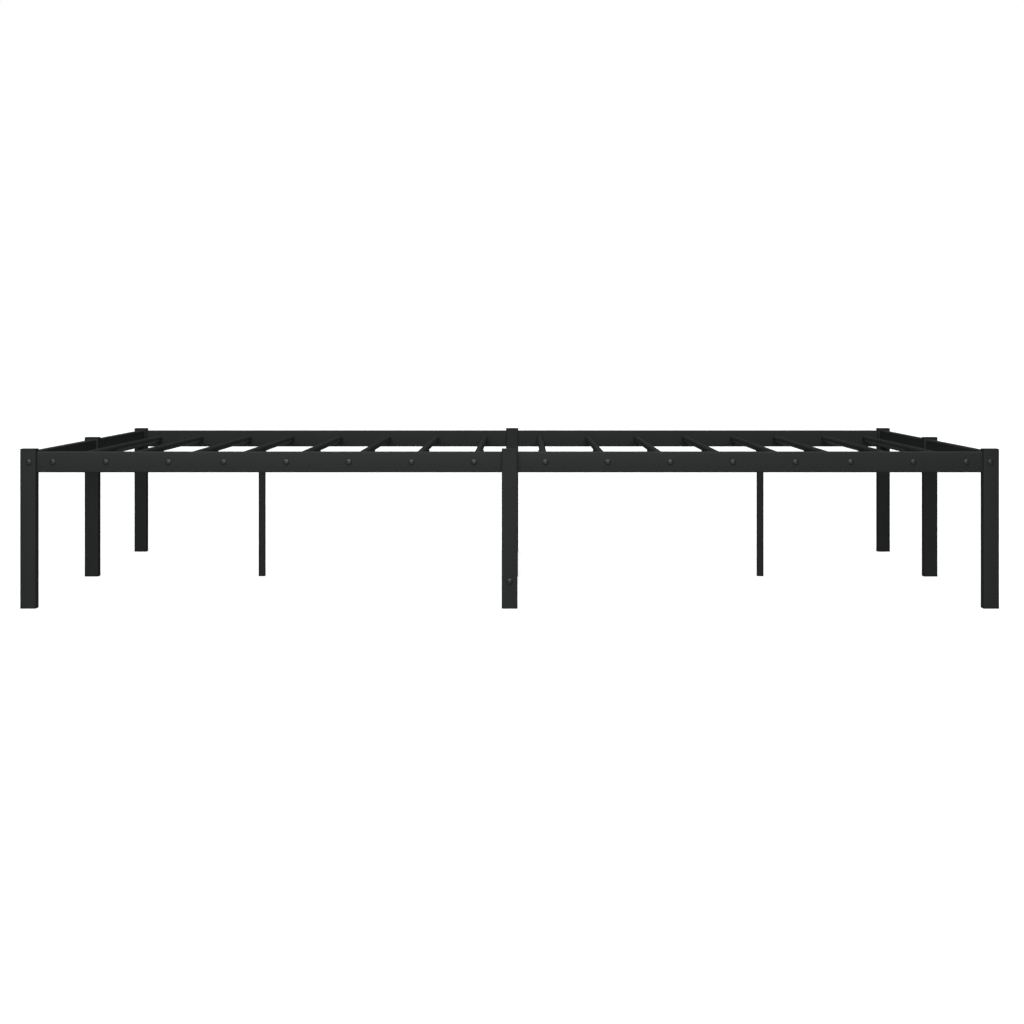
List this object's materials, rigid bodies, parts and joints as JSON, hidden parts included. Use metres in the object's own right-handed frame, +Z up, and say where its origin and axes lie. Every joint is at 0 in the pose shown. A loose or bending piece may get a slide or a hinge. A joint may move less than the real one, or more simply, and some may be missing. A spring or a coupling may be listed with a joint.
{
  "type": "bed frame",
  "caption": "Low metal platform bed frame without a headboard: square legs, flat tube rails and round cross slats, bolted, with mid legs and a centre beam",
  "frame": {"origin": "the middle of the frame's outline, on the floor under the feet", "axes": "+X along the bed's length, +Y across the bed from the front long side to the rear one, +Z up from the floor"},
  "size_m": [2.0756, 1.5756, 0.338],
  "materials": {
    "frame_coat": "fine-textured charcoal black powder coat on steel tube",
    "bolt_black": "black coated steel, slightly glossier than the tube",
    "black_plastic": "moulded black polyethylene, fine grain",
    "zinc_steel": "zinc plated steel"
  },
  "bodies": {
    "root": {"beam_bolts": "bolt_black", "beam_left": "frame_coat", "beam_plugs": "zinc_steel", "beam_right": "frame_coat", "beam_screws": "bolt_black", "corner_bolts": "bolt_black", "corner_small_bolts": "bolt_black", "end_rail_front_left": "frame_coat", "end_rail_front_right": "frame_coat", "end_rail_plugs": "zinc_steel", "end_rail_rear_left": "frame_coat", "end_rail_rear_right": "frame_coat", "leg_caps": "black_plastic", "leg_centre": "frame_coat", "leg_feet": "black_plastic", "leg_front_left": "frame_coat", "leg_front_right": "frame_coat", "leg_mid_front": "frame_coat", "leg_mid_left": "frame_coat", "leg_mid_rear": "frame_coat", "leg_mid_right": "frame_coat", "leg_rear_left": "frame_coat", "leg_rear_right": "frame_coat", "leg_thin_left": "frame_coat", "leg_thin_right": "frame_coat", "plate_screws": "bolt_black", "rail_screws": "bolt_black", "side_rail_front_left": "frame_coat", "side_rail_front_right": "frame_coat", "side_rail_plugs": "zinc_steel", "side_rail_rear_left": "frame_coat", "side_rail_rear_right": "frame_coat", "slat_01": "frame_coat", "slat_02": "frame_coat", "slat_03": "frame_coat", "slat_04": "frame_coat", "slat_05": "frame_coat", "slat_06": "frame_coat", "slat_07": "frame_coat", "slat_08": "frame_coat", "slat_09": "frame_coat", "slat_10": "frame_coat", "slat_11": "frame_coat", "slat_12": "frame_coat", "slat_13": "frame_coat", "slat_14": "frame_coat", "slat_15": "frame_coat", "slat_16": "frame_coat", "slat_bolts": "bolt_black", "slat_inserts": "zinc_steel", "slat_saddles": "black_plastic", "stretcher_bolts": "bolt_black", "stretcher_front": "frame_coat", "stretcher_plugs": "zinc_steel", "stretcher_rear": "frame_coat", "stretcher_screws": "bolt_black", "thin_leg_feet": "black_plastic"}
  },
  "joints": []
}
